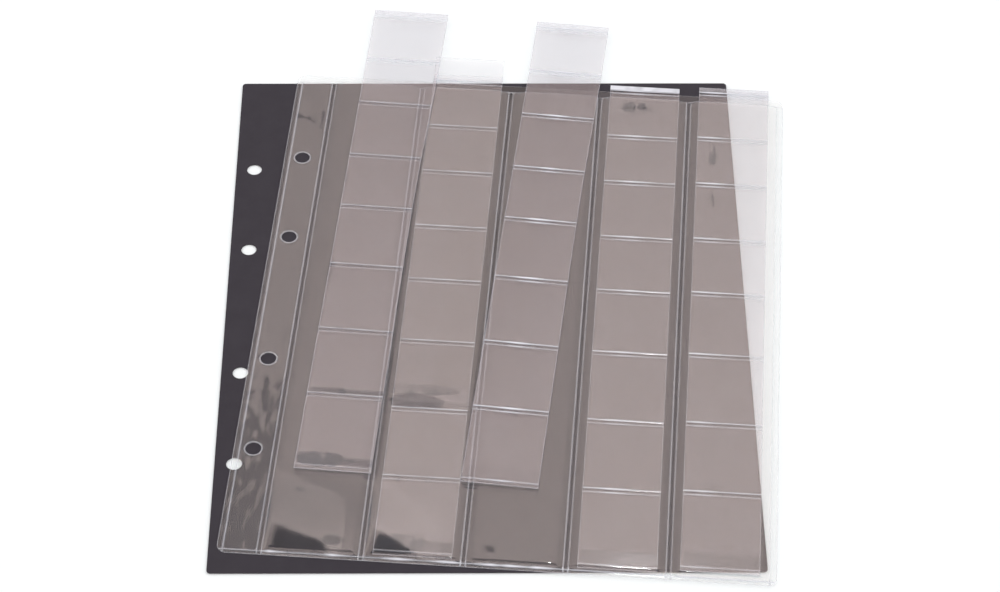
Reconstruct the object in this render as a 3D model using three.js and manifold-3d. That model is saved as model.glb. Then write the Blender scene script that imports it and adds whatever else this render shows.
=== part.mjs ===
// A coin album page with its card interleaf and its five strips of coin pockets.
// Millimetres, +Z up. The page's columns run along +Y, and their open ends face +Y.
// The origin is the middle of the card's underside, where everything rests.
import * as THREE from 'three';
import { mergeVertices } from 'three/addons/utils/BufferGeometryUtils.js';
import Module from 'manifold-3d';

const wasm = await Module();
wasm.setup();

// Ring holes, the same in the card and in the page
const ringHole = 6;
const ringHoleInset = 7.3; // from the binding edge to the centres
const ringInnerSpan = 65; // between the two middle holes
const ringOuterSpan = 45; // from a middle hole to its outer neighbour
const roundSteps = 12; // facets in half a round

// Card interleaf
const cardWidth = 202;
const cardHeight = 257;
const cardThickness = 0.4;
const cardCorner = 1.5;
const cardTurn = 4.6; // degrees, how far the card lies turned under the page

// Clear film and its welds
const filmThickness = 0.2;
const seamClearance = 0.02; // left between two films along a weld
const weldWidth = 1.2; // flat bottom of a weld
const shoulderRun = 0.5; // from the flat bottom to the first crease beside it
const shoulderHeight = 0.3;

// Strips of coin pockets, measured from the top pocket down
const stripWidth = 28.8;
const topHem = 3.9;
const pocketPitches = [27.1, 26.6, 31.1, 29.3, 32.4, 34.5, 33.3, 34.4]; // weld to weld
const stripBottomSeam = 1.9;
const foldRun = 0.6; // closed long side, where the front film comes down to the back film
const coinGap = 0.4; // between the two films of an empty coin pocket
const pullTab = 9.7; // how much longer the back film of the second strip is at the top

// Page
const columnCount = 5;
const bindingMargin = 15.5; // page edge to the middle of the first column weld
const leftSeam = 2.2;
const rightSeam = 2.6;
const pageBottomSeam = 1.4;
const pageCorner = 3.5;
const lipSetBack = 4.3; // the front film ends this much below the back film
const marginGap = 0.15; // between the two films of the binding margin
const rimWidth = 0.6; // welded bead round each ring hole
const rimRise = 0.1; // how far the bead stands above the film
const pillowRun = 2; // from a weld's crease to the full height of the pocket
const endRise = 0.6; // the same at the closed end of a pocket
const slideClearance = 0.2; // above and below a strip in its pocket
const sideClearance = 1; // beside a strip in its pocket
const seatClearance = 0.2; // below a strip in its pocket
const standOut = 3.7; // how far a seated strip stands out of its pocket
const pageShiftX = 13; // the middle of the page from the middle of the card
const pageShiftY = 0.2;

// How the strips lie: three in their pockets, two taken out and laid across the page
const seatedStrips = [
  { column: 2, raised: 0.4, tab: pullTab },
  { column: 4, raised: 0, tab: 0 },
  { column: 5, raised: 1.5, tab: 0 },
];
const restClearance = 0.3; // below a strip that lies on the page
const looseStrips = [
  { column: 1, aside: 8.1, up: 39.9, lean: 1 }, // lean in degrees, to the right
  { column: 3, aside: -3.9, up: 38.2, lean: 2.7 },
];

// Sizes that follow from the ones above
const weldHalf = weldWidth / 2;
const stripLength = topHem + sum(pocketPitches) + stripBottomSeam;
const stripHeight = filmThickness + coinGap + filmThickness;
const pocketHeight = slideClearance + stripHeight + slideClearance;
const columnPitch = stripWidth + 2 * (sideClearance + pillowRun + shoulderRun + weldHalf);
const pageWidth = bindingMargin + columnCount * columnPitch - weldHalf + rightSeam;
const stripSeat = pageBottomSeam + shoulderRun + endRise + seatClearance;
const pageHeight = stripSeat + stripLength - standOut;
const frontHeight = pageHeight - lipSetBack;

const cardMaterial = new THREE.MeshStandardMaterial({
  color: 0x37343a,
  roughness: 0.85,
  metalness: 0,
});
const filmMaterial = new THREE.MeshStandardMaterial({
  color: 0xe6e4ea,
  roughness: 0.12,
  metalness: 0,
  transparent: true,
  opacity: 0.3,
});

function sum(values) {
  return values.reduce((total, value) => total + value, 0);
}

// Heights of the four ring holes above the lower edge of a sheet
function ringHeights(sheetHeight) {
  const inner = ringInnerSpan / 2;
  const outer = inner + ringOuterSpan;
  return [-outer, -inner, inner, outer].map((offset) => sheetHeight / 2 + offset);
}

// Outline of a sheet from its lower left corner, with round corners and its ring holes
function sheetOutline(width, height, corner) {
  const outline = new THREE.Shape();
  const quarter = Math.PI / 2;
  const corners = [
    [width - corner, corner, -quarter],
    [width - corner, height - corner, 0],
    [corner, height - corner, quarter],
    [corner, corner, 2 * quarter],
  ];
  for (const [x, y, start] of corners) {
    outline.absarc(x, y, corner, start, start + quarter, false);
  }
  for (const y of ringHeights(height)) {
    const hole = new THREE.Path();
    hole.absarc(ringHoleInset, y, ringHole / 2, 0, 4 * quarter, true);
    outline.holes.push(hole);
  }
  return outline;
}

function flatSheet(outline, thickness) {
  return new THREE.ExtrudeGeometry(outline, {
    depth: thickness,
    bevelEnabled: false,
    curveSegments: roundSteps,
  });
}

// A film of even thickness over a grid. Its underside follows the lower of two profiles,
// one across the film and one along it, each a list of [place, height].
function pressedSheet(across, along) {
  const columns = across.length;
  const rows = along.length;
  const positions = [];
  for (const lift of [0, filmThickness]) {
    for (const [y, heightAlong] of along) {
      for (const [x, heightAcross] of across) {
        positions.push(x, y, Math.min(heightAcross, heightAlong) + lift);
      }
    }
  }
  const index = [];
  const quad = (a, b, c, d) => index.push(a, b, c, a, c, d);
  const at = (column, row, layer) => (layer * rows + row) * columns + column;
  for (let row = 1; row < rows; row += 1) {
    for (let column = 1; column < columns; column += 1) {
      const corners = [
        [column - 1, row - 1],
        [column, row - 1],
        [column, row],
        [column - 1, row],
      ];
      quad(...corners.map(([c, r]) => at(c, r, 1)));
      quad(...corners.reverse().map(([c, r]) => at(c, r, 0)));
    }
  }
  const rim = [];
  for (let column = 0; column < columns - 1; column += 1) rim.push([column, 0]);
  for (let row = 0; row < rows - 1; row += 1) rim.push([columns - 1, row]);
  for (let column = columns - 1; column > 0; column -= 1) rim.push([column, rows - 1]);
  for (let row = rows - 1; row > 0; row -= 1) rim.push([0, row]);
  rim.forEach((start, place) => {
    const end = rim[(place + 1) % rim.length];
    quad(at(...start, 0), at(...end, 0), at(...end, 1), at(...start, 1));
  });
  const geometry = new THREE.BufferGeometry();
  geometry.setAttribute('position', new THREE.Float32BufferAttribute(positions, 3));
  geometry.setIndex(index);
  return geometry;
}

function toSolid(geometry) {
  const bare = geometry.clone();
  bare.deleteAttribute('normal');
  bare.deleteAttribute('uv');
  const merged = mergeVertices(bare);
  return new wasm.Manifold(
    new wasm.Mesh({
      numProp: 3,
      vertProperties: Float32Array.from(merged.attributes.position.array),
      triVerts: Uint32Array.from(merged.index.array),
    }),
  );
}

function toGeometry(solid) {
  const mesh = solid.getMesh();
  const geometry = new THREE.BufferGeometry();
  geometry.setAttribute('position', new THREE.BufferAttribute(mesh.vertProperties, 3));
  geometry.setIndex(new THREE.BufferAttribute(mesh.triVerts, 1));
  return geometry;
}

// Profile across a column weld, from the full height on one side to that on the other
function columnWeld(middle, heightBefore, heightAfter) {
  const crease = weldHalf + shoulderRun;
  return [
    [middle - crease - pillowRun, heightBefore],
    [middle - crease, Math.min(shoulderHeight, heightBefore)],
    [middle - weldHalf, seamClearance],
    [middle + weldHalf, seamClearance],
    [middle + crease, Math.min(shoulderHeight, heightAfter)],
    [middle + crease + pillowRun, heightAfter],
  ];
}

// Front film of the page: binding margin, five pocket fronts and the welds around them
function pageFrontAcross() {
  const leftCrease = leftSeam + shoulderRun;
  const lastWeld = pageWidth - rightSeam;
  const profile = [
    [0, seamClearance],
    [leftSeam, seamClearance],
    [leftCrease, marginGap],
    ...columnWeld(bindingMargin, marginGap, pocketHeight),
  ];
  for (let column = 1; column < columnCount; column += 1) {
    profile.push(...columnWeld(bindingMargin + column * columnPitch, pocketHeight, pocketHeight));
  }
  profile.push(
    [lastWeld - shoulderRun - pillowRun, pocketHeight],
    [lastWeld - shoulderRun, shoulderHeight],
    [lastWeld, seamClearance],
    [pageWidth, seamClearance],
  );
  return profile;
}

function pageFrontAlong() {
  const crease = pageBottomSeam + shoulderRun;
  return [
    [0, seamClearance],
    [pageBottomSeam, seamClearance],
    [crease, shoulderHeight],
    [crease + endRise, pocketHeight],
    [frontHeight, pocketHeight],
  ];
}

// Bead round a ring hole of the page, filled in until the outline's holes cut it
function ringBead(height) {
  const disc = new THREE.Shape();
  disc.absarc(ringHoleInset, height, ringHole / 2 + rimWidth, 0, 2 * Math.PI, false);
  const bead = flatSheet(disc, marginGap - seamClearance + filmThickness + rimRise);
  return toSolid(bead.translate(0, 0, seamClearance));
}

function pageFrontFilm(outline) {
  let pressed = toSolid(pressedSheet(pageFrontAcross(), pageFrontAlong()));
  for (const height of ringHeights(pageHeight)) pressed = pressed.add(ringBead(height));
  const reach = filmThickness + pocketHeight + filmThickness;
  const cutter = toSolid(flatSheet(outline, reach));
  return toGeometry(pressed.intersect(cutter));
}

// Front film of a strip: cross welds between the coin pockets, a fold on its left side
function stripFrontFilm() {
  const across = [
    [0, seamClearance],
    [foldRun, coinGap],
    [stripWidth, coinGap],
  ];
  const along = [
    [0, seamClearance],
    [stripBottomSeam, seamClearance],
    [stripBottomSeam + shoulderRun, coinGap],
  ];
  let weld = stripBottomSeam;
  for (const pitch of [...pocketPitches].reverse()) {
    weld += pitch;
    along.push(
      [weld - weldHalf - shoulderRun, coinGap],
      [weld - weldHalf, seamClearance],
      [weld + weldHalf, seamClearance],
      [weld + weldHalf + shoulderRun, coinGap],
    );
  }
  along.push([stripLength, coinGap]);
  return pressedSheet(across, along);
}

function stripBackFilm(tab) {
  const outline = new THREE.Shape();
  outline.moveTo(0, 0);
  outline.lineTo(stripWidth, 0);
  outline.lineTo(stripWidth, stripLength + tab);
  outline.lineTo(0, stripLength + tab);
  outline.closePath();
  return flatSheet(outline, filmThickness);
}

function piece(name, geometry, material, height = 0) {
  const mesh = new THREE.Mesh(geometry, material.clone());
  mesh.name = name;
  mesh.position.z = height;
  return mesh;
}

// One strip, from its lower left corner, resting at height 0
function strip(number, tab) {
  const group = new THREE.Group();
  group.add(piece(`strip_${number}_back_film`, stripBackFilm(tab), filmMaterial));
  group.add(piece(`strip_${number}_front_film`, stripFrontFilm(), filmMaterial, filmThickness));
  return group;
}

function columnStart(column) {
  return bindingMargin + (column - 1) * columnPitch;
}

// The page from its lower left corner, with its underside at height 0
function page() {
  const group = new THREE.Group();
  const outline = sheetOutline(pageWidth, pageHeight, pageCorner);
  group.add(piece('page_back_film', flatSheet(outline, filmThickness), filmMaterial));
  group.add(piece('page_front_film', pageFrontFilm(outline), filmMaterial, filmThickness));

  for (const { column, raised, tab } of seatedStrips) {
    const seated = strip(column, tab);
    const aside = (columnPitch - stripWidth) / 2;
    seated.position.set(
      columnStart(column) + aside,
      stripSeat + raised,
      filmThickness + slideClearance,
    );
    group.add(seated);
  }

  const pageTop = filmThickness + pocketHeight + filmThickness;
  for (const { column, aside, up, lean } of looseStrips) {
    const loose = strip(column, 0);
    loose.position.set(columnStart(column) + aside, up, pageTop + restClearance);
    loose.rotation.z = -THREE.MathUtils.degToRad(lean);
    group.add(loose);
  }
  return group;
}

function card() {
  const geometry = flatSheet(sheetOutline(cardWidth, cardHeight, cardCorner), cardThickness);
  geometry.translate(-cardWidth / 2, -cardHeight / 2, 0);
  const mesh = piece('card', geometry, cardMaterial);
  mesh.rotation.z = THREE.MathUtils.degToRad(cardTurn);
  return mesh;
}

const coinPage = new THREE.Group();
const placedPage = page();
placedPage.position.set(
  pageShiftX - pageWidth / 2,
  pageShiftY - pageHeight / 2,
  cardThickness,
);
coinPage.add(card(), placedPage);

export default coinPage;
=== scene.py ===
import itertools
import math

import bmesh
import bpy
from mathutils import Matrix, Vector, geometry, noise


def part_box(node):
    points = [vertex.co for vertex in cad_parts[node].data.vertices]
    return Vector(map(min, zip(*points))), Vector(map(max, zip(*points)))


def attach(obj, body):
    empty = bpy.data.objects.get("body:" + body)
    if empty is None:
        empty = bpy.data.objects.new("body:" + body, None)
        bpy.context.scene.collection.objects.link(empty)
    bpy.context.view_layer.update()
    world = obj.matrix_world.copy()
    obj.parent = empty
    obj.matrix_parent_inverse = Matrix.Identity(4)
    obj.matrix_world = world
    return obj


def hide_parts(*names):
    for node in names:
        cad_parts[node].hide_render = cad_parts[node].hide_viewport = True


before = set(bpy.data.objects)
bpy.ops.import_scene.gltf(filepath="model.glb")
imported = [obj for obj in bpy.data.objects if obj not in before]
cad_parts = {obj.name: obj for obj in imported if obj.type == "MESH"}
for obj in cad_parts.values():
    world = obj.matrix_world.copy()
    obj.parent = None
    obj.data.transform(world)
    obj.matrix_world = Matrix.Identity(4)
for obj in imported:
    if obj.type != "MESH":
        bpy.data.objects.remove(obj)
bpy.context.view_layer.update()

# Sizes in metres, in the frame's coordinates. On a film, u runs across it and v along it.
MM = 0.001
FILM = 0.2 * MM
SEAM_GAP = 0.02 * MM  # between two welded films
LAYER_GAP = 0.17 * MM  # a little less than between the page's back film and a seated strip
WELD_HALF = 0.6 * MM
RIDGE = 0.9 * MM  # from the middle of a weld to the raised line beside it
EDGE_LINE = 0.35 * MM  # from a cut edge to the grid line beside it

# The page
BINDING_MARGIN = 15.5 * MM
COLUMN_PITCH = 37.0 * MM
COLUMNS = 5
LEFT_SEAM = 2.2 * MM
SIDE_WELD = 0.8 * LEFT_SEAM  # from a side of the page to where its films part
RIGHT_SEAM = 2.6 * MM
BOTTOM_SEAM = 1.4 * MM
BOTTOM_LINE = BOTTOM_SEAM + 0.2 * MM
PAGE_CORNER = 3.5 * MM
POCKET_HEIGHT = 1.2 * MM
MARGIN_GAP = 0.15 * MM
HOLE_INSET = 7.3 * MM
HOLE_RADIUS = 3.0 * MM
HOLE_PLACES = [-77.5 * MM, -32.5 * MM, 32.5 * MM, 77.5 * MM]
HOLE_SIDES = 40
RIM_WIDTH = 0.6 * MM
RIM_RINGS = (0.5, 1, 1.5)  # rim widths from the hole to each ring of edges round it
RIM_HALF = 0.8 * RIM_WIDTH
PAGE_LINE_HALF = 0.4 * MM  # half width of a raised line
PAGE_LINE_RISE = 0.09 * MM
LINE_DRIFT = 0.4  # the share by which the height of a raised line drifts
PAGE_WAVE = 0.07 * MM
FULL_WAVE = 0.4 * MM  # the wave is whole where the front film stands as high as this
# Lengths over which the front film rises from a weld, from the bottom seam, and in the margin
PILLOW_RUN = 3.1 * MM
SEAM_RUN = 1.6 * MM
MARGIN_RUN = 0.8 * MM
MARGIN_FALL = 0.6 * MM

# The strips
STRIP_WIDTH = 28.8 * MM
STRIP_LIP = 3.9 * MM
STRIP_WELDS = [1.9, 34.4, 33.3, 34.5, 32.4, 29.3, 31.1, 26.6, 27.1]  # mm, from the bottom up
COIN_GAP = 0.4 * MM
FOLD_RUN = 0.6 * MM
STRIP_LINE_HALF = 0.42 * MM
STRIP_LINE_RISE = 0.05 * MM
STRIP_WAVE = 0.03 * MM
# The length over which a strip's front film rises above a weld, and where it is shorter, in mm
COIN_RISE = 7
COIN_FALL = 14
SHORT_RISES = {(1, 0): 4, (1, 1): 3.5, (2, 2): 5, (2, 0): 5}
FLATTEST = 0.75  # the share of its height that a strip loses at most where it is pushed up
# The strips that sit in their columns, and how far the free end of each sinks beyond the
# page's top edge, in mm. Below 0 it curls up.
SEATED = (2, 4, 5)
DROOPS = {2: -1.2, 4: 0.39, 5: 0.2}
# How much wider a loose strip spreads in its upper half, in mm
FLARES = {1: 2.6, 3: 1.8}

# How forms and looks drift over a film: the distance between rises, and what picks the
# pattern. For a strip the second is multiplied by its number.
PAGE_WAVES = (22 * MM, 3.7)
PAGE_LINE_WAVES = (5 * MM, 8.1)
STRIP_WAVES = (14 * MM, 5.3)
STRIP_LINE_WAVES = (5 * MM, 3.1)
STRIP_FROST_WAVES = (7 * MM, 7.7)
LIP_WAVES = (4 * MM, 9.4)

# Where both page films stand off the card, in mm: middle and half width across the page, how
# softly that width ends, the lowest place, the length of the rise and how it changes across,
# its slope, and the length over which it sinks again
PAGE_SWELLS = [
    (25, 11, 8, 1.4, 12, -0.42, 0.07, 23),
    (60, 8, 12, 1.4, 12.4, -0.7, 0.066, 22),
]
# Where the page's front film alone stands off, in the same order
FRONT_SWELLS = [
    (60, 9, 16, 72.5, 8, -0.05, 0.094, 30),
]
# How much the length of a rise drifts, in mm, over what distance, its least, and its curve
SWELL_DRIFT = 0.8
SWELL_PITCH = 9 * MM
LEAST_RUN = 1
SWELL_CURVE = 1.2
# Where the page's films cling together, in mm: middle across and along, half sizes, strength
PAGE_CLINGS = [
    (142.1, 244.2, 8, 4.5, 0.5), (174.3, 217.8, 3, 8, 0.53), (174.1, 192.3, 3, 7, 0.53),
    (4.7, 227.9, 3, 3, 0.62), (12.6, 226.7, 1.2, 8, 0.6), (27, 140, 2.2, 16, 0.68),
    (63, 33.4, 2.5, 6, 0.57), (70.3, 34, 2, 4, 0.57), (27, 29.7, 4, 2.5, 0.62),
    (40.7, 7.6, 6, 3, 0.62), (66, 76, 14, 3.2, 0.62), (97.7, 7.7, 4, 2.6, 0.64),
]
# Where they lie so close together that they mirror less, in the same order
PAGE_NEAR = [(25, 24, 30, 15, 0.34)]
# Where the films of a strip cling together, the same for each strip by its number
STRIP_CLINGS = {
    1: [(10, 5, 14, 4.5, 0.6), (12, 38.5, 14, 1.6, 0.5)],
    2: [(12, 79.5, 17, 3.4, 0.66), (10, 6, 12, 5, 0.6)],
    4: [(12, 241, 9, 6, 0.575)],
    5: [(6.7, 213.6, 3, 8, 0.6), (6.5, 188.1, 2.8, 7, 0.59)],
}
# The share of its half size where a place clings fully, and over which that fades
CLING_CORE = 0.6
CLING_FADE = 0.7
# How strongly the binding margin clings in its upper part, how much more in its lower part,
# the height below which that grows, and over what length
MARGIN_CLING = 0.3
MARGIN_CLING_MORE = 0.32
MARGIN_CLING_TOP = 120 * MM
MARGIN_CLING_FADE = 70 * MM

# How frosted places look, from 0 for clear to about 1 for milky: cut edges and punched rims
PAGE_RIM_FROST = 0.28
BACK_RIM_FROST = 0.25
STRIP_END_FROST = 0.25
STRIP_SIDE_FROST = 0.12
# The lines left and right of a weld, at the page's left side and along its bottom
LEFT_LINE_FROST = 0.32
RIGHT_LINE_FROST = 0.2
SIDE_LINE_FROST = 0.42
BOTTOM_LINE_FROST = 0.4
BOTTOM_LINE_MORE = 0.2  # added to the right of the next place, over the length after it
BOTTOM_LINE_START = 70 * MM
BOTTOM_LINE_FADE = 60 * MM
# Where the line along the page's bottom carries painted glints as extra milky frost, in mm: middle
# and half width, and how much
BOTTOM_PAINTED_GLINTS = [(20, 4), (43, 4), (66, 7), (84, 7), (99, 5), (107, 6), (117, 6)]
BOTTOM_PAINTED_GLINT = 0.9
# How much wider a line grows where a painted glint brightens it
PAINTED_GLINT_WIDENS = 0.5
# How strongly the lines beside a strip's cross welds show: their milky frost is partly real
# frosted welds and partly painted highlight
STRIP_LINES = {1: 0.6, 2: 0.85, 3: 1.0, 4: 0.95, 5: 0.9}
LOWER_LINE = 0.5  # of the upper one, in height and in frost; the weaker frost paints the lower line dimmer, as the upper one catches more light
# Where along them a painted glint brightens their frost, in mm from the strip's left side, and how
# far
STRIP_PAINTED_GLINTS = {3: 14, 4: 12, 5: 6}
STRIP_PAINTED_GLINT_HALF = 9
# How frosted the free lip at a strip's top is; on strip 4 its strong frost paints the glare of the
# curled lip
LIP_FROST_AND_GLARE = {1: 0.3, 3: 0.22, 4: 1.4, 5: 0.2}
MOST_FROST = 1.3
# The usual share of a strip's frost, and how much that drifts or how much a painted glint adds
LINE_SHARE, LINE_SHARE_DRIFT = 0.9, 0.5
DULL_SHARE, PAINTED_GLINT_SHARE = 0.85, 0.7
# How much the lip's frost, which on strip 4 is painted glare, drifts over it
LIP_SHARE, LIP_SHARE_DRIFT = 0.85, 0.6
# How far the inner faces of two films are one, so that they mirror nothing
PAGE_WELD_FUSED = 0.88
PAGE_SEAM_FUSED = 0.75
STRIP_WELD_FUSED = 0.65
STRIP_SEAM_FUSED = 0.35


def smooth(value):
    value = min(max(value, 0.0), 1.0)
    return value * value * (3 - 2 * value)


def bump(distance, half):
    """1 at no distance, and 0 from half on."""
    return 1 - smooth(abs(distance) / half)


def plateau(distance, half, soft):
    """1 up to half, and 0 from a soft length beyond it."""
    return 1 - smooth((abs(distance) - half) / soft)


def drift(u, v, pitch, seed):
    """Slow rise and fall over a film, from -1 to 1. The seed picks one pattern of it."""
    return noise.noise(Vector((u / pitch, v / pitch, seed)))


def column_of(u):
    return math.floor((u - BINDING_MARGIN) / COLUMN_PITCH)


def swell(u, v, places):
    """Height that the listed places add, in metres."""
    height = 0.0
    for middle, half, soft, low, run, skew, slope, fall in places:
        above = v / MM - low
        if above <= 0 or column_of(u) != column_of(middle * MM):
            continue
        side = plateau(u / MM - middle, half, soft)
        skewed = run + skew * (u / MM - middle) + SWELL_DRIFT * drift(u, v, SWELL_PITCH, middle)
        run = max(skewed, LEAST_RUN)
        if above < run:
            share = 1 - (1 - above / run) ** SWELL_CURVE
        else:
            share = 1 - smooth((above - run) / fall)
        height += slope * run * MM * share * side
    return height


def clung(u, v, places):
    """How strongly the films cling together, from the listed places."""
    found = 0.0
    for middle_u, middle_v, half_u, half_v, strength in places:
        reach = math.hypot((u / MM - middle_u) / half_u, (v / MM - middle_v) / half_v)
        found = max(found, strength * (1 - smooth((reach - CLING_CORE) / CLING_FADE)))
    return found


# Grids and outlines

SAME_PLACE = 0.02 * MM  # grid lines closer than this are one
SAME_POINT = 1e-6
OUTLINE_STEP = 4 * MM
CORNER_STEPS = 6


def spread(low, high, step):
    """Places from low to high, a step apart or a little less."""
    parts = max(1, math.ceil((high - low) / step))
    return [low + (high - low) * k / parts for k in range(parts + 1)]


def spreads(rows):
    """Places over each listed stretch, given in mm as its ends and step."""
    return [place for row in rows for place in spread(*(x * MM for x in row))]


def around(middles, offsets, low, high, step):
    """Places from low to high, close together near each middle and a step apart elsewhere."""
    places = {low, high, *(m + side * o for m in middles for o in offsets for side in (-1, 1))}
    places = sorted(p for p in places if low <= p <= high)
    kept = places[:1]
    for place in places[1:]:
        if place - kept[-1] >= SAME_PLACE:
            kept += spread(kept[-1], place, step)[1:]
    return kept


def grid(across, along):
    points = [(u, v) for v in along for u in across]
    wide = len(across)
    faces = []
    for row in range(len(along) - 1):
        for column in range(wide - 1):
            a = row * wide + column
            faces.append((a, a + 1, a + 1 + wide, a + wide))
    return points, faces


def circle(middle, radius):
    turns = [2 * math.pi * k / HOLE_SIDES for k in range(HOLE_SIDES)]
    return [(middle[0] + radius * math.cos(t), middle[1] + radius * math.sin(t)) for t in turns]


def rounded(width, height, corner):
    """Outline of a sheet with round corners, counter-clockwise."""
    loop = []
    for x, y, start in (
        (width - corner, corner, -90),
        (width - corner, height - corner, 0),
        (corner, height - corner, 90),
        (corner, corner, 180),
    ):
        for k in range(CORNER_STEPS + 1):
            turn = math.radians(start + 90 * k / CORNER_STEPS)
            loop.append((x + corner * math.cos(turn), y + corner * math.sin(turn)))
    return loop


def divided(loop, step):
    """A closed loop with its long sides cut into pieces."""
    out = []
    for a, b in zip(loop, loop[1:] + loop[:1]):
        parts = max(1, math.ceil(math.dist(a, b) / step))
        out += [
            (a[0] + (b[0] - a[0]) * k / parts, a[1] + (b[1] - a[1]) * k / parts)
            for k in range(parts)
        ]
    return out


def drawn_in(loop, inset):
    """A loop that runs inside a counter-clockwise one at an even distance."""
    out = []
    for k, point in enumerate(loop):
        before, after = loop[k - 1], loop[(k + 1) % len(loop)]
        normals = []
        for a, b in ((before, point), (point, after)):
            length = math.dist(a, b)
            normals.append(Vector(((a[1] - b[1]) / length, (b[0] - a[0]) / length)))
        mean = (normals[0] + normals[1]).normalized()
        reach = inset / mean.dot(normals[0])
        out.append((point[0] + mean.x * reach, point[1] + mean.y * reach))
    return out


def inside(point, loop):
    x, y = point
    found = False
    for (x1, y1), (x2, y2) in zip(loop, loop[1:] + loop[:1]):
        if (y1 > y) != (y2 > y) and x < x1 + (y - y1) * (x2 - x1) / (y2 - y1):
            found = not found
    return found


def trimmed(across, along, outline, loops, hole_middles):
    """Points and triangles of a sheet with an outline and holes, and with edges along loops."""
    coords, edges = [], []
    for loop in [outline, *loops]:
        first, count = len(coords), len(loop)
        coords += loop
        edges += [(first + k, first + (k + 1) % count) for k in range(count)]
    crossing = {}
    for row, v in enumerate(along):
        for column, u in enumerate(across):
            if min(math.dist((u, v), at) for at in hole_middles) > HOLE_RADIUS + 2 * RIM_WIDTH:
                crossing[(row, column)] = len(coords)
                coords.append((u, v))
    # The grid's own lines are kept, so that a ridge along one of them stays even
    for (row, column), start in crossing.items():
        for end in ((row + 1, column), (row, column + 1)):
            if end in crossing:
                edges.append((start, crossing[end]))
    kept, _, triangles, _, _, _ = geometry.delaunay_2d_cdt(
        [Vector(c) for c in coords], edges, [], 0, SAME_POINT
    )
    faces = []
    for face in triangles:
        middle = [sum(kept[i][axis] for i in face) / len(face) for axis in (0, 1)]
        punched = any(math.dist(middle, at) < HOLE_RADIUS for at in hole_middles)
        if inside(middle, outline) and not punched:
            faces.append(tuple(face))
    used = sorted({i for face in faces for i in face})
    index = {old: new for new, old in enumerate(used)}
    points = [(kept[i][0], kept[i][1]) for i in used]
    return points, [tuple(index[i] for i in face) for face in faces]


# Film pieces

SHARP = math.radians(50)  # an edge that turns more than this is shaded as an edge


class Place:
    """Where a film lies: its lower left corner, the directions of its sides, and its length."""

    def __init__(self, film):
        corners = [v.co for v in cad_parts[film].data.vertices]
        low_left = max(corners, key=lambda c: -c.x - c.y)
        low_right = max(corners, key=lambda c: c.x - c.y)
        top_left = max(corners, key=lambda c: c.y - c.x)
        self.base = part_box(film)[0].z
        self.corner = Vector((low_left.x, low_left.y, 0))
        side = Vector((low_right.x - low_left.x, low_right.y - low_left.y, 0))
        up = Vector((top_left.x - low_left.x, top_left.y - low_left.y, 0))
        self.length = up.length
        self.across, self.along = side.normalized(), up.normalized()

    def point(self, u, v, z):
        spot = self.corner + self.across * u + self.along * v
        return (spot.x, spot.y, self.base + z)


def film_piece(name, node, body, shape, place, lift, marks, material):
    """A film of even thickness over points and faces, with a value per mark at each point."""
    points, faces = shape
    count = len(points)
    verts = [place.point(u, v, lift(u, v) + z) for z in (0, FILM) for u, v in points]
    sides = {(a, b) for face in faces for a, b in zip(face, face[1:] + face[:1])}
    rim = [(a, b) for face in faces for a, b in zip(face, face[1:] + face[:1])
           if (b, a) not in sides]
    solid = [tuple(i + count for i in face) for face in faces]
    solid += [tuple(reversed(face)) for face in faces]
    solid += [(a, b, b + count, a + count) for a, b in rim]
    mesh = bpy.data.meshes.new(name)
    mesh.from_pydata(verts, [], solid)
    on_rim = {i for side in rim for i in side}
    for mark, value in marks.items():
        values = [value(u, v, k in on_rim) for k, (u, v) in enumerate(points)]
        layer = mesh.attributes.new(mark, "FLOAT", "POINT")
        layer.data.foreach_set("value", values + values)
    work = bmesh.new()
    work.from_mesh(mesh)
    for face in work.faces:
        face.smooth = True
    for edge in work.edges:
        if len(edge.link_faces) == 2 and edge.calc_face_angle() > SHARP:
            edge.smooth = False
    work.to_mesh(mesh)
    work.free()
    mesh.materials.append(material)
    piece = bpy.data.objects.new(name, mesh)
    bpy.context.scene.collection.objects.link(piece)
    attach(piece, body)
    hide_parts(node)


# Materials

def new_tree(kind, name):
    made = kind.new(name)
    made.use_nodes = True
    return made, made.node_tree


def add_node(tree, kind, **settings):
    made = tree.nodes.new(kind)
    for key, value in settings.items():
        setattr(made, key, value)
    return made


def feed(tree, socket, value):
    """Sets a socket to a number or colour, or links an output to it."""
    if isinstance(value, bpy.types.NodeSocket):
        tree.links.new(value, socket)
    else:
        socket.default_value = value


def math_node(tree, operation, *values):
    made = add_node(tree, "ShaderNodeMath", operation=operation)
    for socket, value in zip(made.inputs, values):
        feed(tree, socket, value)
    return made.outputs[0]


def noise_node(tree, vector, scale, detail, roughness=0.5):
    made = add_node(tree, "ShaderNodeTexNoise")
    for name, value in (
        ("Vector", vector), ("Scale", scale), ("Detail", detail), ("Roughness", roughness),
    ):
        feed(tree, made.inputs[name], value)
    return made.outputs["Fac"]


def ranged(tree, value, before, after, kind="SMOOTHSTEP"):
    """A value taken from one range to another."""
    made = add_node(tree, "ShaderNodeMapRange", interpolation_type=kind)
    for name, number in zip(
        ("Value", "From Min", "From Max", "To Min", "To Max"), (value, *before, *after)
    ):
        feed(tree, made.inputs[name], number)
    return made.outputs["Result"]


def attribute(tree, name):
    return add_node(tree, "ShaderNodeAttribute", attribute_name=name).outputs["Fac"]


def blend(tree, factor, low, high):
    """A colour between two others."""
    made = add_node(tree, "ShaderNodeMix", data_type="RGBA")
    for name, value in (("Factor", factor), ("A", low), ("B", high)):
        feed(tree, made.inputs[name], value)
    return made.outputs["Result"]


def mix_shaders(tree, factor, low, high):
    made = add_node(tree, "ShaderNodeMixShader")
    for socket, value in zip(made.inputs, (factor, low, high)):
        tree.links.new(value, socket)
    return made.outputs[0]


def relief(tree, height, strength, distance):
    made = add_node(tree, "ShaderNodeBump")
    for name, value in (("Strength", strength), ("Distance", distance), ("Height", height)):
        feed(tree, made.inputs[name], value)
    return made.outputs["Normal"]


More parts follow.
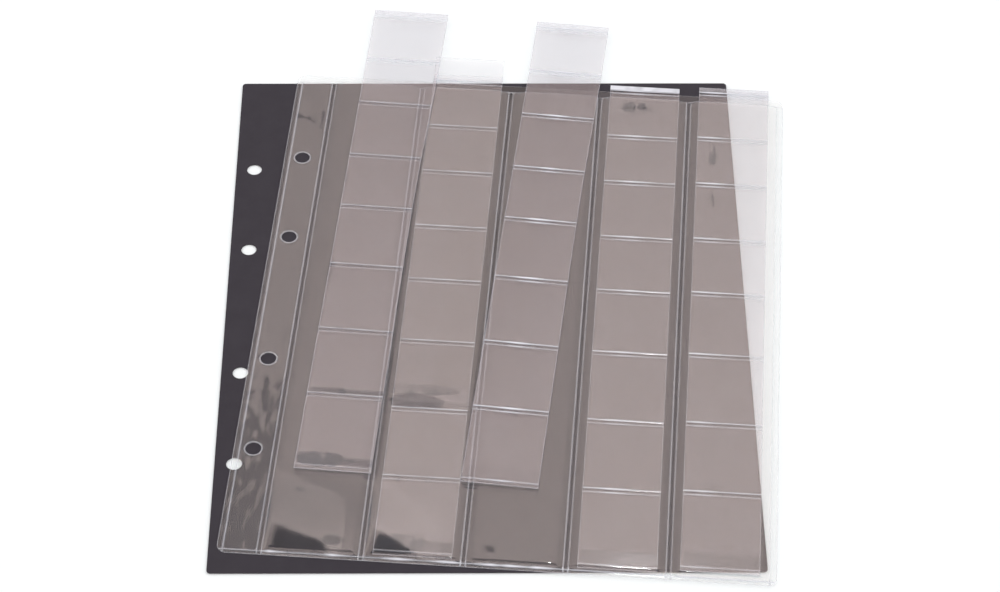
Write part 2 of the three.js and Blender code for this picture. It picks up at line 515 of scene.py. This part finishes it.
BLOT_STRETCH = (1, 0.35, 1)  # the blots where films cling are longer along the page
CLING_EDGE = (0.95, 1.12)
FUSED_LOSS = 0.88  # the share of its mirroring that a film loses where two are one
GRAZING_POWER = 5
GRAZING_TONE = (0.93, 0.93, 0.95, 1)
GRAZING_EDGE = (0.36, 0.66)
CLEAR_ROUGHNESS, FROST_ROUGHNESS, ROUGH_FROST = 0.07, 0.2, 0.6
MILK = (0.78, 0.76, 0.81, 1)
MILK_SHARE = 0.75
DUST_EDGE = (0.3, 0.7)
DUST_LEAST, DUST_MOST = 0.6, 1.4


def film_material(name, haze, mirror, tint, shine):
    """Clear film: its haze, what it mirrors head on, its tint, and the tone of what it mirrors."""
    material, tree = new_tree(bpy.data.materials, name)
    tree.nodes.clear()
    place = add_node(tree, "ShaderNodeTexCoord").outputs["Object"]

    # Where two films cling together or are welded, their inner faces mirror nothing
    stretch = add_node(tree, "ShaderNodeVectorMath", operation="MULTIPLY")
    feed(tree, stretch.inputs[0], place)
    feed(tree, stretch.inputs[1], BLOT_STRETCH)
    blots = noise_node(tree, stretch.outputs[0], scale=330, detail=4, roughness=0.6)
    patches = math_node(tree, "ADD", attribute(tree, "cling"), blots)
    clinging = ranged(tree, patches, CLING_EDGE, (0, 1))
    joined = math_node(tree, "MAXIMUM", attribute(tree, "fused"), clinging)
    lone = math_node(tree, "MULTIPLY_ADD", joined, -FUSED_LOSS, 1)

    # What a face mirrors grows towards a grazing look
    facing = add_node(tree, "ShaderNodeLayerWeight").outputs["Facing"]
    grazing = math_node(tree, "POWER", facing, GRAZING_POWER)
    mirrored = math_node(tree, "MULTIPLY_ADD", grazing, 1 - mirror, mirror)
    mirrored = math_node(tree, "MULTIPLY", mirrored, lone)

    # The warm tone of what it mirrors fades towards a grazing look
    tone = blend(
        tree, ranged(tree, facing, GRAZING_EDGE, (0, 1)), (*shine, 1), GRAZING_TONE
    )
    frost_and_glint = attribute(tree, "frost_and_glint")
    clear = add_node(tree, "ShaderNodeBsdfTransparent")
    feed(tree, clear.inputs["Color"], (*tint, 1))
    gloss = add_node(tree, "ShaderNodeBsdfAnisotropic")
    feed(tree, gloss.inputs["Color"], tone)
    roughness = ranged(
        tree, frost_and_glint, (0, ROUGH_FROST), (CLEAR_ROUGHNESS, FROST_ROUGHNESS), "LINEAR"
    )
    feed(tree, gloss.inputs["Roughness"], roughness)
    ripple = noise_node(tree, place, scale=700, detail=3)
    feed(tree, gloss.inputs["Normal"], relief(tree, ripple, strength=0.35, distance=0.02 * MM))
    film = mix_shaders(tree, mirrored, clear.outputs[0], gloss.outputs[0])

    # Dust all over and frost on cut edges and welds look milky; the same milky frost also paints
    # glints on some lines and glare on a strip's lip
    milk = add_node(tree, "ShaderNodeBsdfDiffuse")
    feed(tree, milk.inputs["Color"], MILK)
    specks = noise_node(tree, place, scale=60, detail=5, roughness=0.65)
    dust = ranged(tree, specks, DUST_EDGE, (DUST_LEAST * haze, DUST_MOST * haze))
    cloud = math_node(tree, "MULTIPLY_ADD", frost_and_glint, MILK_SHARE, dust)
    surface = mix_shaders(tree, cloud, film, milk.outputs[0])
    out = add_node(tree, "ShaderNodeOutputMaterial")
    tree.links.new(surface, out.inputs["Surface"])
    return material


CARD_DARK, CARD_PALE = (0.039, 0.032, 0.04, 1), (0.047, 0.0395, 0.048, 1)
CARD_EDGE = (0.3, 0.7)


def card_material():
    """Charcoal card with a slow mottle and fine fibres."""
    material, tree = new_tree(bpy.data.materials, "charcoal_card")
    shader = tree.nodes["Principled BSDF"]
    place = add_node(tree, "ShaderNodeTexCoord").outputs["Object"]
    mottle = noise_node(tree, place, scale=120, detail=5, roughness=0.6)
    fibre = noise_node(tree, place, scale=2600, detail=3, roughness=0.6)
    both = math_node(tree, "MULTIPLY_ADD", fibre, 0.5, math_node(tree, "MULTIPLY", mottle, 0.5))
    shade = blend(tree, ranged(tree, both, CARD_EDGE, (0, 1)), CARD_DARK, CARD_PALE)
    feed(tree, shader.inputs["Base Color"], shade)
    feed(tree, shader.inputs["Roughness"], 0.85)
    feed(tree, shader.inputs["Specular IOR Level"], 0.25)
    feed(tree, shader.inputs["Normal"], relief(tree, fibre, strength=0.5, distance=0.03 * MM))
    return material


page_film = film_material(
    "page_film", haze=0.006, mirror=0.055, tint=(0.992, 0.999, 1), shine=(1, 0.83, 0.775),
)
strip_film = film_material(
    "strip_film", haze=0.006, mirror=0.045, tint=(0.972, 0.9785, 0.9845), shine=(1, 0.79, 0.75),
)
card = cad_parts["card"]
card.data.materials.clear()
card.data.materials.append(card_material())


# Page

page_low, page_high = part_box("page_back_film")
page_width, page_height = page_high.x - page_low.x, page_high.y - page_low.y
page_top = page_high.y
front_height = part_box("page_front_film")[1].y - page_low.y
page_back = Place("page_back_film")
page_front = Place("page_front_film")
for sheet in (page_back, page_front):
    sheet.corner = Vector((page_low.x, page_low.y, 0))
    sheet.across, sheet.along = Vector((1, 0, 0)), Vector((0, 1, 0))
column_welds = [BINDING_MARGIN + k * COLUMN_PITCH for k in range(COLUMNS)]
hole_middles = [(HOLE_INSET, page_height / 2 + place) for place in HOLE_PLACES]


def to_edge(u, v):
    """Distance to the page's outline, at its straight sides."""
    return min(u, page_width - u, v, page_height - v)


def hole_distance(u, v):
    return min(math.dist((u, v), middle) for middle in hole_middles) - HOLE_RADIUS


def weld_distance(u):
    """Distance across the page to the middle of the nearest weld or to the right seam."""
    return min([abs(u - w) for w in column_welds] + [page_width - RIGHT_SEAM + WELD_HALF - u])


def line_distance(u, v):
    """Distance to the nearest raised line beside a weld or seam of the page."""
    lines = [abs(abs(u - w) - RIDGE) for w in column_welds]
    lines += [abs(u - LEFT_SEAM), abs(u - (page_width - RIGHT_SEAM)), abs(v - BOTTOM_LINE)]
    return min(lines)


def column_share(u):
    """From 0 on a weld of the page to 1 out in a column."""
    if u <= BINDING_MARGIN:
        return 0.0
    return smooth((weld_distance(u) - WELD_HALF) / (PILLOW_RUN / 2))


def page_back_lift(u, v):
    return column_share(u) * swell(u, v, PAGE_SWELLS)


def column_height(u):
    """Height of the page's front film across its columns, above the lowest place of a weld."""
    if u < BINDING_MARGIN:
        margin = smooth((u - LEFT_SEAM) / MARGIN_RUN)
        margin *= smooth((BINDING_MARGIN - WELD_HALF - u) / MARGIN_FALL)
        return (MARGIN_GAP - SEAM_GAP) * margin
    return (POCKET_HEIGHT - SEAM_GAP) * smooth((weld_distance(u) - WELD_HALF) / PILLOW_RUN)


def page_front_lift(u, v):
    run = SEAM_RUN if u > BINDING_MARGIN else MARGIN_RUN
    height = column_height(u) * smooth((v - BOTTOM_SEAM) / run)
    wave = PAGE_WAVE * drift(u, v, *PAGE_WAVES) * min(height / FULL_WAVE, 1)
    line = PAGE_LINE_RISE * bump(line_distance(u, v), PAGE_LINE_HALF)
    line *= 1 + LINE_DRIFT * drift(u, v, *PAGE_LINE_WAVES)
    own_swell = column_share(u) * swell(u, v, FRONT_SWELLS)
    return height + wave + line + page_back_lift(u, v) + own_swell


# Milky frost of the page's front film on rims and raised lines, with painted glints added at the
# listed places along the bottom line
def page_frost_and_glints(u, v, on_rim):
    if on_rim:
        return PAGE_RIM_FROST
    rim = PAGE_RIM_FROST * bump(hole_distance(u, v) - RIM_WIDTH / 2, RIM_HALF)
    left_of_weld = any(0 < w - u < 2 * RIDGE for w in column_welds)
    strength = LEFT_LINE_FROST if left_of_weld else RIGHT_LINE_FROST
    half = PAGE_LINE_HALF
    if v < 2 * BOTTOM_SEAM:
        painted_glint = max(bump(u / MM - middle, wide) for middle, wide in BOTTOM_PAINTED_GLINTS)
        more = BOTTOM_LINE_MORE * smooth((u - BOTTOM_LINE_START) / BOTTOM_LINE_FADE)
        strength = BOTTOM_LINE_FROST + more + BOTTOM_PAINTED_GLINT * painted_glint
        half *= 1 + PAINTED_GLINT_WIDENS * painted_glint
    elif u < 2 * LEFT_SEAM:
        strength = SIDE_LINE_FROST
    return max(strength * bump(line_distance(u, v), half), rim)


def page_fused(u, v, on_rim):
    if min(abs(u - w) for w in column_welds) < WELD_HALF:
        return PAGE_WELD_FUSED
    if to_edge(u, v) < SIDE_WELD or v < BOTTOM_SEAM or u > page_width - RIGHT_SEAM:
        return PAGE_SEAM_FUSED
    return clung(u, v, PAGE_NEAR)


def page_cling(u, v, on_rim):
    found = clung(u, v, PAGE_CLINGS)
    if u < BINDING_MARGIN - WELD_HALF:
        lower = smooth((MARGIN_CLING_TOP - v) / MARGIN_CLING_FADE)
        found = max(found, MARGIN_CLING + MARGIN_CLING_MORE * lower)
    return found


def page_outline(height):
    """Outline of a page film: with round corners, or cut straight across below the top."""
    loop = rounded(page_width, page_height, PAGE_CORNER)
    if height == page_height:
        return loop
    low = [p for p in loop if p[1] < page_height / 2]
    right = [p for p in low if p[0] > page_width / 2]
    left = [p for p in low if p[0] <= page_width / 2]
    return [*right, (page_width, height), (0, height), *left]


def page_shape(height, across, along):
    outline = divided(page_outline(height), OUTLINE_STEP)
    loops = [circle(middle, HOLE_RADIUS) for middle in hole_middles]
    loops += [circle(m, HOLE_RADIUS + d * RIM_WIDTH) for m in hole_middles for d in RIM_RINGS]
    loops.append(drawn_in(outline, EDGE_LINE))
    return trimmed(across, along, outline, loops, hole_middles)


def no_mark(u, v, on_rim):
    return 0.0


def rim_only(u, v, on_rim):
    return BACK_RIM_FROST if on_rim else 0.0


# Grid lines of the page, close together where a film bends, in mm. A row is given by the
# ends and the step of a stretch of rows, and both films have the same rows in the swells.
SWELL_ROWS = [(21.5, 47.5, 2)]
FRONT_ROWS = [(4.5, 20, 1.2), *SWELL_ROWS, (51, 70, 4), (72.5, 82, 1)]
FRONT_TOP_START, FRONT_TOP_STEP = 85 * MM, 3 * MM
BACK_TOP_START, BACK_TOP_STEP = 51 * MM, 5 * MM
BACK_LOW_END, BACK_LOW_STEP = 20 * MM, 1.2 * MM
FRONT_STEP, BACK_STEP = 3.5 * MM, 1.5 * MM
WELD_OFFSETS = [0, 0.3, 0.5, 0.7, 0.9, 1.1, 1.3, 1.6, 2.2, 3, 3.7]
LEFT_LINES = [1.2, 1.9, 2.05, 2.2, 2.35, 2.5, 3]
RIGHT_OFFSETS = [-3.1, -2.2, -1.4, -0.8, -0.3, -0.15, 0, 0.15, 0.3, 1]
BOTTOM_OFFSETS = [-0.5, -0.1, 0.05, 0.2, 0.35, 0.5, 0.8, 1.2, 1.6, 2.2]
BACK_WELD_PARTS = [0, 0.12, 0.25, 0.4]  # of the run of a pocket

last_column, last_row = page_width - EDGE_LINE, page_height - EDGE_LINE
front_across = sorted({
    *around(column_welds, [d * MM for d in WELD_OFFSETS], EDGE_LINE, last_column, FRONT_STEP),
    *[d * MM for d in LEFT_LINES],
    *[page_width - RIGHT_SEAM + d * MM for d in RIGHT_OFFSETS],
})
front_across = front_across[:1] + [
    b for a, b in zip(front_across, front_across[1:]) if b - a > SAME_PLACE / 2
]
front_along = sorted({
    EDGE_LINE,
    *[BOTTOM_SEAM + d * MM for d in BOTTOM_OFFSETS],
    *spreads(FRONT_ROWS),
    *spread(FRONT_TOP_START, front_height - EDGE_LINE, FRONT_TOP_STEP),
})
back_across = sorted({
    *spread(EDGE_LINE, last_column, BACK_STEP),
    *[weld + side * (WELD_HALF + d * PILLOW_RUN) for weld in column_welds for side in (-1, 1)
      for d in BACK_WELD_PARTS],
})
back_along = sorted({
    *spread(EDGE_LINE, BACK_LOW_END, BACK_LOW_STEP),
    *spreads(SWELL_ROWS),
    *spread(BACK_TOP_START, last_row, BACK_TOP_STEP),
})

film_piece(
    "page_back_sheet", "page_back_film", "page",
    page_shape(page_height, back_across, back_along), page_back, page_back_lift,
    {"frost_and_glint": rim_only, "fused": no_mark, "cling": no_mark}, page_film,
)
film_piece(
    "page_front_sheet", "page_front_film", "page",
    page_shape(front_height, front_across, front_along), page_front, page_front_lift,
    {"frost_and_glint": page_frost_and_glints, "fused": page_fused, "cling": page_cling}, page_film,
)


# Strips

weld_places = [place * MM for place in itertools.accumulate(STRIP_WELDS)]
# The first is the bottom seam and the rest are cross welds
strip_bottom, cross_welds = weld_places[0], weld_places[1:]
strip_length = weld_places[-1] + STRIP_LIP


def strip_drift(u, v, number, waves):
    pitch, seed = waves
    return drift(u, v, pitch, number * seed)


def strip_lines(v, half=STRIP_LINE_HALF):
    """The raised lines beside the cross welds: 1 on an upper one, less on a lower one."""
    upper = min(abs(v - w - RIDGE) for w in cross_welds)
    lower = min([abs(v - w + RIDGE) for w in cross_welds] + [abs(v - strip_bottom)])
    return max(bump(upper, half), LOWER_LINE * bump(lower, half))


def carried(number, spot, u, v):
    """How far the page's back film pushes a seated strip up at a point of the strip."""
    if number not in SEATED:
        return 0
    aside, up = spot.corner.x - page_low.x, spot.corner.y - page_low.y
    return max(page_back_lift(u + aside, v + up) - LAYER_GAP, 0)


def strip_back_lift(number, spot):
    edge = page_top - spot.corner.y
    droop = DROOPS.get(number, 0) * MM

    def lift(u, v):
        over = min(max((v - edge) / (spot.length - edge), 0), 1)
        return carried(number, spot, u, v) - droop * over
    return lift


def pocket_share(number, v):
    """From 0 on a cross weld to 1 in the middle of a coin pocket."""
    share = 1.0
    for place, weld in enumerate(weld_places):
        if v < weld:
            return share * smooth((weld - WELD_HALF - v) / (COIN_FALL * MM)) if place else 0.0
        run = SHORT_RISES.get((number, place), COIN_RISE) * MM
        share = min(max((v - weld - WELD_HALF) / run, 0), 1)
    return 0.0


def strip_front_lift(number, spot):
    under = strip_back_lift(number, spot)

    def lift(u, v):
        free = pocket_share(number, v) * smooth(u / FOLD_RUN)
        free *= 1 - min(carried(number, spot, u, v) / MM, FLATTEST)
        height = (COIN_GAP - SEAM_GAP) * free
        wave = STRIP_WAVE * (strip_drift(u, v, number, STRIP_WAVES) - 1) * free
        line = STRIP_LINE_RISE * strip_lines(v)
        line *= 1 + LINE_DRIFT * strip_drift(u, v, number, STRIP_LINE_WAVES)
        return height + wave + line + under(u, v)
    return lift


# Milky frost of a strip's front film on its cut edges and weld lines, with painted glints along
# some lines and painted glare on strip 4's lip
def strip_frost_and_glints(number):
    lip_start = cross_welds[-1] + RIDGE + STRIP_LINE_HALF

    def frost_and_glint(u, v, on_rim):
        rim, painted_glint, lip = 0.0, 0.0, 0.0
        if on_rim:
            ends = min(v, strip_length - v) < EDGE_LINE / 2
            rim = STRIP_END_FROST if ends else STRIP_SIDE_FROST
        if number in STRIP_PAINTED_GLINTS:
            painted_glint = bump(u / MM - STRIP_PAINTED_GLINTS[number], STRIP_PAINTED_GLINT_HALF)
        line = STRIP_LINES[number] * strip_lines(v, STRIP_LINE_HALF * (1 + PAINTED_GLINT_WIDENS * painted_glint))
        drifting = strip_drift(u, v, number, STRIP_FROST_WAVES)
        line *= (LINE_SHARE + LINE_SHARE_DRIFT * drifting) * (DULL_SHARE + PAINTED_GLINT_SHARE * painted_glint)
        if v > lip_start:
            lip = LIP_FROST_AND_GLARE.get(number, 0)
            lip *= LIP_SHARE + LIP_SHARE_DRIFT * drift(u, v, *LIP_WAVES)
        return min(max(rim, line, lip), MOST_FROST)
    return frost_and_glint


def strip_fused(u, v, on_rim):
    if min(abs(v - w) for w in cross_welds) < WELD_HALF:
        return STRIP_WELD_FUSED
    return STRIP_SEAM_FUSED if v < strip_bottom else 0.0


def strip_cling(number):
    return lambda u, v, on_rim: clung(u, v, STRIP_CLINGS.get(number, []))


def flared(number, along):
    """The grid of a strip. A loose one spreads a little in its upper half."""
    points, faces = grid(strip_across, along)
    wider = FLARES.get(number, 0) * MM / STRIP_WIDTH
    half = [smooth((v / strip_length - 0.5) / 0.5) for u, v in points]
    return [(u * (1 + wider * share), v) for share, (u, v) in zip(half, points)], faces


# Grid lines of the strips: in mm from a cross weld and from the bottom seam, then how many
# parts there are across, and the rows of the films
CROSS_OFFSETS = [0, 0.3, 0.48, 0.6, 0.75, 0.9, 1.05, 1.2, 1.35, 1.6, 2.0]
FIRST_OFFSETS = [-0.45, -0.2, 0, 0.2, 0.4, 0.7, 1.0]
STRIP_PARTS = 16
FRONT_ROW_STEP = 1.5 * MM
LOW_ROWS = [(0, 20, 1)]
MIDDLE_START, MIDDLE_STEP = 24 * MM, 5 * MM
TOP_LENGTH, TOP_STEP = 5 * MM, 0.8 * MM

strip_across = sorted({
    0.0, EDGE_LINE, FOLD_RUN, 2 * FOLD_RUN, STRIP_WIDTH - EDGE_LINE, STRIP_WIDTH,
    *[STRIP_WIDTH * k / STRIP_PARTS for k in range(1, STRIP_PARTS)],
})
for number in range(1, 6):
    back, front = f"strip_{number}_back_film", f"strip_{number}_front_film"
    spot, top = Place(back), Place(front)
    top.corner, top.across, top.along = spot.corner, spot.across, spot.along
    kink = page_top - spot.corner.y  # where a seated strip leaves the page
    top_start = spot.length - TOP_LENGTH
    back_along = sorted({
        *spreads(LOW_ROWS), *spread(MIDDLE_START, top_start, MIDDLE_STEP),
        *spread(top_start, spot.length, TOP_STEP), EDGE_LINE, spot.length - EDGE_LINE, kink,
    })
    film_piece(
        f"strip_{number}_back", back, f"strip_{number}",
        flared(number, back_along), spot, strip_back_lift(number, spot),
        {"frost_and_glint": rim_only, "fused": no_mark, "cling": strip_cling(number)}, strip_film,
    )
    front_along = sorted({
        *around(cross_welds, [d * MM for d in CROSS_OFFSETS], 0, strip_length, FRONT_ROW_STEP),
        *[strip_bottom + d * MM for d in FIRST_OFFSETS],
        EDGE_LINE, strip_length - EDGE_LINE, kink,
    })
    film_piece(
        f"strip_{number}_front", front, f"strip_{number}",
        flared(number, front_along), top, strip_front_lift(number, spot),
        {"frost_and_glint": strip_frost_and_glints(number), "fused": strip_fused, "cling": strip_cling(number)},
        strip_film,
    )


# Floor

FLOOR_REACH = 4.0
floor_mesh = bpy.data.meshes.new("floor")
floor_mesh.from_pydata(
    [(x * FLOOR_REACH, y * FLOOR_REACH, 0) for x, y in ((-1, -1), (1, -1), (1, 1), (-1, 1))],
    [], [(0, 1, 2, 3)],
)
floor = bpy.data.objects.new("floor", floor_mesh)
floor.location.z = -0.2 * MM
bpy.context.scene.collection.objects.link(floor)
paper, tree = new_tree(bpy.data.materials, "pale_floor")
shader = tree.nodes["Principled BSDF"]
feed(tree, shader.inputs["Base Color"], (0.95, 0.95, 0.95, 1))
feed(tree, shader.inputs["Roughness"], 0.9)
feed(tree, shader.inputs["Specular IOR Level"], 0.1)
floor_mesh.materials.append(paper)


# World: pale walls, brighter higher up, with a dark opening above them. Heights are the
# upward part of a direction of length 1.

WALLS, WALL_LIGHT = (0.6, 0.85), (1.1, 1.5)
OPENING, OPENING_LIGHT = (0.824, 0.855), (1, 0.05)
FOOT, FOOT_LIGHT = (0.1, 0.55), (0.75, 1)

world, tree = new_tree(bpy.data.worlds, "studio")
bpy.context.scene.world = world
direction = add_node(tree, "ShaderNodeTexCoord").outputs["Generated"]
axes = add_node(tree, "ShaderNodeSeparateXYZ")
feed(tree, axes.inputs[0], direction)
upward = axes.outputs["Z"]
walls = ranged(tree, upward, WALLS, WALL_LIGHT, "LINEAR")
opening = ranged(tree, upward, OPENING, OPENING_LIGHT)
foot = ranged(tree, upward, FOOT, FOOT_LIGHT, "LINEAR")
background = tree.nodes["Background"]
sky = math_node(tree, "MULTIPLY", math_node(tree, "MULTIPLY", walls, opening), foot)
feed(tree, background.inputs["Strength"], sky)
feed(tree, background.inputs["Color"], (1, 1, 1, 1))


# Lamps

def area_lamp(name, place, shape, size, watts, colour):
    """A square lamp at a place."""
    data = bpy.data.lights.new(name, "AREA")
    data.shape, data.energy, data.color = shape, watts, colour
    data.size = data.size_y = size
    made = bpy.data.objects.new(name, data)
    made.location = place
    bpy.context.scene.collection.objects.link(made)
    return made


softbox = area_lamp(
    "softbox", (0.075, 0.5, 1.1), "RECTANGLE", size=0.035, watts=1.5, colour=(0.82, 1.0, 1.05),
)
softbox.rotation_euler = (-softbox.location).to_track_quat("-Z", "Y").to_euler()
# Soft light from above that no film mirrors
fill = area_lamp("fill", (0, 0, 2), "SQUARE", size=1.5, watts=8, colour=(1, 1, 1))
fill.visible_glossy = False


# Camera, which looks along the photograph's angles at a target on the page

AZIMUTH, ELEVATION, ROLL = math.radians(-3.842), math.radians(47.09), math.radians(0.467)
TARGET, DISTANCE = Vector((0.00494, 0.00794, 0)), 1.16328
LENS = 107.18
SENSOR = 36

forward = Vector((
    math.sin(AZIMUTH) * math.cos(ELEVATION),
    math.cos(AZIMUTH) * math.cos(ELEVATION),
    -math.sin(ELEVATION),
))
right = forward.cross(Vector((0, 0, 1))).normalized()
up = right.cross(forward)
right, up = (
    right * math.cos(ROLL) + up * math.sin(ROLL),
    up * math.cos(ROLL) - right * math.sin(ROLL),
)
eye = TARGET - forward * DISTANCE
camera_data = bpy.data.cameras.new("camera")
camera_data.sensor_width = SENSOR
camera_data.sensor_fit = "HORIZONTAL"
camera_data.lens = LENS
camera = bpy.data.objects.new("camera", camera_data)
camera.matrix_world = Matrix((
    *[(right[axis], up[axis], -forward[axis], eye[axis]) for axis in range(3)],
    (0, 0, 0, 1),
))
bpy.context.scene.collection.objects.link(camera)
bpy.context.scene.camera = camera

cycles = bpy.context.scene.cycles
cycles.transparent_max_bounces = 64
cycles.max_bounces = 16
bpy.context.scene.view_settings.view_transform = "Standard"
